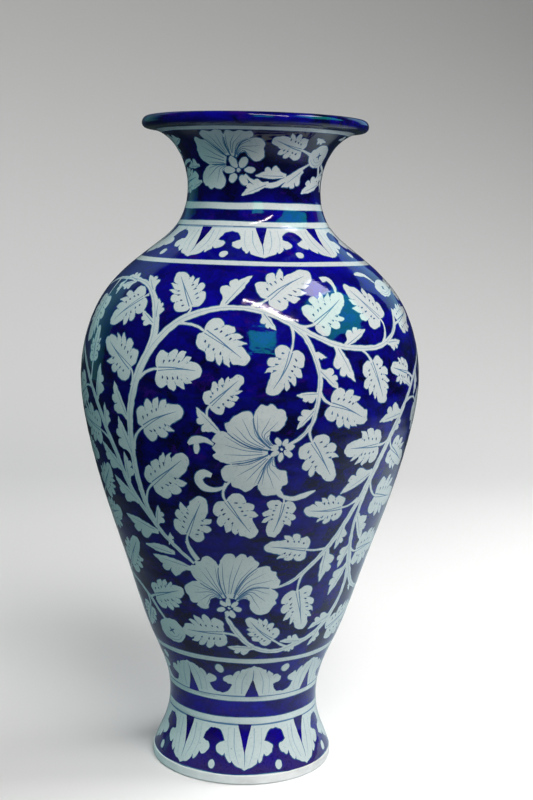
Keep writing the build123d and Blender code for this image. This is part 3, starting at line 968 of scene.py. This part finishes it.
def tin_white():
    """Milky tin white that varies from one motif to the next, with blue bleed and a few pinholes.

    Low on the vase it carries a painted teal cast of the light, and higher up a greyer one.
    """
    grey_light_cast = (0.52, 0.56, 0.56), (0.69, 0.71, 0.7)
    teal_light_cast = (0.5, 0.585, 0.585), (0.66, 0.715, 0.7)
    bleed, grain, pit_blue = (0.38, 0.5, 0.58), (0.36, 0.46, 0.5), (0.1, 0.16, 0.26)
    recipe = Recipe("tin_white")
    cloud = recipe.math("MULTIPLY", recipe.noise(60, 5, 0.55), 0.6)
    share = recipe.math("ADD", recipe.math("MULTIPLY", recipe.tone(), 0.4), cloud)
    upper = recipe.ramp(recipe.parts()["Z"], 0.1, 0.26)
    # Painted light: a teal cast of the light low on the vase, turning greyer higher up
    colour = recipe.mix(upper, recipe.mix(share, *teal_light_cast), recipe.mix(share, *grey_light_cast))
    colour = recipe.flecks(colour, bleed, (210, 5, 0.65, (1, 1, 1), 0.5), 0.55, 0.8, 0.4)
    colour = recipe.flecks(colour, grain, (760, 3, 0.75), 0.5, 0.68, 0.45)
    colour = recipe.mix(recipe.ramp(recipe.cells(170.0), 0.05, 0.09, 0.55, 0.0), colour, pit_blue)
    return glazed(recipe, colour)


def teal_edge():
    """The thin outline of diluted blue round every white shape."""
    recipe = Recipe("teal_edge")
    load = recipe.ramp(recipe.noise(240, 4, 0.6), 0.3, 0.7)
    return glazed(recipe, recipe.mix(load, (0.008, 0.03, 0.17), (0.04, 0.15, 0.29)))


def fine_blue():
    """The fine brush lines and dots: nearly navy at tone 0, a pale wash at tone 1."""
    navy, blue, wash = (0.006, 0.03, 0.12), (0.08, 0.18, 0.32), (0.33, 0.45, 0.53)
    recipe = Recipe("fine_blue")
    tone = recipe.tone()
    colour = recipe.mix(recipe.ramp(tone, 0.1, 0.5), navy, blue)
    colour = recipe.mix(recipe.ramp(tone, 0.5, 0.9), colour, wash)
    return glazed(recipe, recipe.flecks(colour, (0.08, 0.18, 0.33), (330, 4, 0.6), 0.3, 0.75, 0.4))


def bare_clay(name, dark, light, grit):
    """Fired clay left unglazed: mottled, gritty and matt."""
    stain, grain = (tuple(part * share for part in dark) for share in (0.7, 0.45))
    recipe = Recipe(name)
    colour = recipe.mix(recipe.ramp(recipe.noise(90, 6, 0.6), 0.3, 0.7), dark, light)
    colour = recipe.flecks(colour, stain, (30, 4, 0.6, (1, 1, 3)), 0.52, 0.75, 0.5)
    colour = recipe.mix(recipe.ramp(recipe.cells(1400.0), 0.05, 0.2, grit, 0.0), colour, grain)
    rings = recipe.bump(recipe.noise(420, 3, 0.5, (0.05, 0.05, 1)), 0.00012)
    bumps = recipe.bump(recipe.noise(1500, 4, 0.7), 0.00008, rings)
    return recipe.finish(colour, recipe.ramp(recipe.noise(200), 0.3, 0.7, 0.72, 0.92), Normal=bumps)


def lining():
    """The clear glaze over white slip inside, with brushed cobalt just inside the lip."""
    pale_slip = (0.47, 0.56, 0.55), (0.62, 0.69, 0.65)
    deep_blue = (0.004, 0.004, 0.1), (0.008, 0.006, 0.26)
    spot_blue = (0.16, 0.26, 0.42)
    recipe = Recipe("inner_lining")
    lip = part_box("inner_glaze")[1].z
    ragged = recipe.math("MULTIPLY", recipe.noise(90, 5, 0.6), 0.004)
    height = recipe.math("ADD", recipe.parts()["Z"], ragged)
    band = recipe.ramp(height, lip - 0.0075, lip - 0.0068)
    pale = recipe.mix(recipe.ramp(recipe.noise(45, 5, 0.6), 0.3, 0.7), *pale_slip)
    pale = recipe.flecks(pale, spot_blue, (150, 5, 0.65), 0.62, 0.75, 0.5)
    blue = recipe.mix(recipe.ramp(recipe.noise(60, 5, 0.6, (1, 1, 2)), 0.35, 0.65), *deep_blue)
    return glazed(recipe, recipe.mix(band, pale, blue))


def dress(node, material):
    """Gives a carried-over CAD node its material in every slot."""
    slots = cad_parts[node].material_slots
    if not slots:
        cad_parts[node].data.materials.append(material)
    for entry in slots:
        entry.material = material


clay = bare_clay("buff_clay", (0.42, 0.33, 0.25), (0.55, 0.45, 0.35), 0.5)
for node in ("lower_body", "shoulder", "neck"):
    dress(node, clay)
dress("pedestal_foot", bare_clay("foot_bisque", (0.8, 0.775, 0.76), (0.9, 0.88, 0.86), 0.2))
grey_luting = bare_clay("luting_slip", (0.36, 0.31, 0.26), (0.46, 0.41, 0.35), 0.4)
for node in ("foot_luting", "belly_luting", "neck_luting"):
    dress(node, grey_luting)
dress("slip_coat", bare_clay("white_slip", (0.62, 0.62, 0.6), (0.74, 0.74, 0.72), 0.1))
dress("inner_glaze", lining())

skin_points, skin_triangles = cut_skin()
skin_corners = skin_points[skin_triangles]
skin_layers, skin_tones = shown(skin_corners.mean(axis=1))
PIECES = {
    "cobalt_ground": (cobalt(), (GROUND, LAYERS.index("blue"))),
    "white_reserves": (tin_white(), (LAYERS.index("white"),)),
    "teal_edges": (teal_edge(), (LAYERS.index("edge"),)),
    "fine_brush_lines": (fine_blue(), (LAYERS.index("vein"),)),
}
for name, (material, kinds) in PIECES.items():
    chosen = np.isin(skin_layers, kinds)
    skin_piece(name, skin_corners[chosen], skin_tones[chosen], material)

# ---------------- floor, light and camera

PALE_ROOM = (0.5, 0.5, 0.49)
BELLY = Vector((0, 0, 0.25))  # what the lamps point at


def backdrop():
    """A pale floor that sweeps up into a wall behind the vase."""
    front, bend_start, curve, wall_top, half_width = -3.4, 0.9, 0.9, 3.4, 3.2
    profile = [(front, 0.0), (bend_start, 0.0)]
    steps = 12
    for step in range(1, steps + 1):
        turn = math.radians(90 * step / steps)
        profile.append((bend_start + curve * math.sin(turn), curve * (1 - math.cos(turn))))
    profile.append((bend_start + curve, wall_top))
    places = [(side * half_width, depth, height) for depth, height in profile for side in (-1, 1)]
    faces = [(2 * i, 2 * i + 1, 2 * i + 3, 2 * i + 2) for i in range(len(profile) - 1)]
    mesh = bpy.data.meshes.new("backdrop")
    mesh.from_pydata(places, [], faces)
    mesh.polygons.foreach_set("use_smooth", [True] * len(faces))
    mesh.materials.append(paper())
    made = added("backdrop", mesh)
    return made


def paper():
    """Pale paper. Away from the vase it throws back little light on it, as a small table top would.

    Beside the vase and behind the camera it fades into the pale room, so that no horizon shows.
    """
    wall_shade_grey, black = (0.56, 0.557, 0.55), (0, 0, 0)
    thrown_near, thrown_middle, thrown_far = (0.44, 0.53, 0.56), (0.03, 0.045, 0.05), (0.13, 0.22, 0.24)
    recipe = Recipe("pale_paper")
    grain = recipe.mix(recipe.noise(3, 3), (0.83, 0.83, 0.825), (0.86, 0.86, 0.855))
    x, y, height = (recipe.parts()[axis] for axis in "XYZ")
    # Painted shade: the backdrop grows darker going up the wall
    shaded = recipe.mix(recipe.ramp(height, 0.0, 0.9), grain, wall_shade_grey)
    brightest = recipe.node("CombineXYZ", {"X": 0.24, "Y": 0.2}).outputs[0]
    away = recipe.node("VectorMath", {0: recipe.place, 1: brightest}, operation="DISTANCE")
    away = away.outputs["Value"]
    thrown = recipe.mix(recipe.ramp(away, 0.2, 0.7), thrown_near, thrown_middle)
    thrown = recipe.mix(recipe.ramp(away, 1.5, 2.6), thrown, thrown_far)
    seen = recipe.node("LightPath").outputs["Is Camera Ray"]
    beside = recipe.ramp(recipe.math("ABSOLUTE", x, 0.0), 0.9, 2.4)
    before = recipe.ramp(y, -2.4, -0.9, 1.0, 0.0)
    faded = recipe.math("MULTIPLY", recipe.math("MAXIMUM", beside, before), seen)
    colour = recipe.mix(faded, recipe.mix(seen, thrown, shaded), black)
    return recipe.finish(colour, 0.75, Specular_IOR_Level=0.0, Emission_Color=PALE_ROOM,
                         Emission_Strength=faded)


def softbox(name, place, size, power, colour, aim=BELLY, along=None):
    """A rectangular studio light that points at a place, with its long side level or along a direction."""
    lamp = bpy.data.lights.new(name, "AREA")
    lamp.shape = "RECTANGLE"
    lamp.size, lamp.size_y = size
    lamp.energy = power
    lamp.color = colour
    made = added(name, lamp)
    back = (Vector(place) - Vector(aim)).normalized()
    side = (along or Vector((0, 0, 1)).cross(back)).normalized()
    turn = Matrix((side, back.cross(side), back)).transposed()
    made.matrix_world = Matrix.Translation(place) @ turn.to_4x4()
    made.visible_camera = False
    return made


def lit_only(lamps, thing, state):
    """Makes lamps light only a thing, or everything but it."""
    group = bpy.data.collections.new(f"{thing.name}_{state.lower()}")
    group.objects.link(thing)
    group.collection_objects[0].light_linking.link_state = state
    for lamp in lamps:
        lamp.light_linking.receiver_collection = group


def camera():
    """The photograph's viewpoint: a little above the belly, slightly turned and tilted."""
    lens = bpy.data.cameras.new("viewpoint")
    lens.lens = 60.8
    eye = added("viewpoint", lens)
    eye.location = (0, -0.835, 0.345)
    pitch, yaw, roll = (Matrix.Rotation(math.radians(turn), 4, axis)
                        for turn, axis in ((90 - 7.97, "X"), (-0.73, "Z"), (1.39, "Z")))
    eye.rotation_mode = "QUATERNION"
    eye.rotation_quaternion = (yaw @ pitch @ roll).to_quaternion()
    bpy.context.scene.camera = eye


def toward(azimuth, elevation, distance):
    """A place seen from the vase's belly at an azimuth (right of the front) and an elevation."""
    turn, rise = math.radians(azimuth), math.radians(elevation)
    level = distance * math.cos(rise)
    return BELLY + Vector((level * math.sin(turn), -level * math.cos(turn), distance * math.sin(rise)))


def room():
    """The dim room round the vase, which looks pale where the camera sees it directly."""
    world = bpy.data.worlds.new("room")
    world.use_nodes = True
    tree = world.node_tree
    shade = tree.nodes.new("ShaderNodeMix")
    shade.data_type = "RGBA"
    shade.inputs[6].default_value = (0.027, 0.029, 0.03, 1)
    shade.inputs[7].default_value = (*PALE_ROOM, 1)
    tree.links.new(tree.nodes.new("ShaderNodeLightPath").outputs["Is Camera Ray"], shade.inputs[0])
    tree.links.new(shade.outputs[2], tree.nodes["Background"].inputs[0])
    bpy.context.scene.world = world


# Each lamp is its place, its size, its power in watts, its colour, its aim and its long side's direction. The
# key, the fills and the washes don't show in the glaze. The fills light the vase only and the washes the
# backdrop only. The glints only show in the glaze.
WHITE = (1, 1, 1)
strip_start, strip_end = toward(-10, 63, 1.6), toward(37, 40, 1.6)
strip, strip_middle = strip_end - strip_start, (strip_start + strip_end) / 2
LAMPS = {
    "key": {"key": (toward(24, 45, 1.9), (1.2, 1.2), 38, (1.0, 0.985, 0.97))},
    "fills": {
        "right_fill": (toward(80, 2, 1.3), (0.6, 1.0), 8, (0.92, 0.98, 1)),
        "back_fill": (toward(195, 30, 2.2), (1.6, 1.6), 36, (0.97, 1.0, 1)),
        "left_fill": (toward(-70, 12, 1.3), (0.8, 1.0), 4.6, (0.47, 0.95, 0.97)),
    },
    "washes": {
        "right_wash": ((1.1, 0.2, 0.8), (0.8, 0.8), 16, WHITE, (0.4, -0.1, 0)),
        "wall_wash": ((-1.5, 1.0, 2), (1.5, 1.5), 20, WHITE, (-0.8, 3.0, 0.4)),
    },
    "glints": {
        "high_window": (toward(78, 42, 1.5), (1.05, 0.8), 7.0, (0.02, 0.85, 0.65)),
        "front_window": (toward(8, 31, 1.5), (0.42, 0.42), 1.9, (0.02, 0.85, 0.6)),
        "window_light": (toward(88, 60, 1.5), (0.45, 0.3), 3.6, (0.82, 0.8, 1)),
        "rear_window": (toward(143, 24, 1.8), (0.8, 0.9), 1.5, (0.45, 0.9, 1)),
        "left_window": (toward(-130, 5, 2), (1.2, 1.5), 1.2, (0.04, 0.75, 0.65)),
        "strip_lamp": (strip_middle, (strip.length, 0.04), 4.6, WHITE, BELLY, strip),
        "strip_glow": (strip_middle * 1.02, (strip.length, 0.12), 1.8, (1.0, 0.6, 0.4), BELLY, strip),
    },
}

sweep = backdrop()
camera()
lamps = {kind: [softbox(name, *lamp) for name, lamp in members.items()] for kind, members in LAMPS.items()}
for lamp in lamps["key"] + lamps["fills"] + lamps["washes"]:
    lamp.visible_glossy = False
for lamp in lamps["glints"]:
    lamp.visible_diffuse = False
lit_only(lamps["fills"], sweep, "EXCLUDE")
lit_only(lamps["washes"], sweep, "INCLUDE")
room()
bpy.context.scene.view_settings.view_transform = "Standard"

bpy.context.view_layer.update()
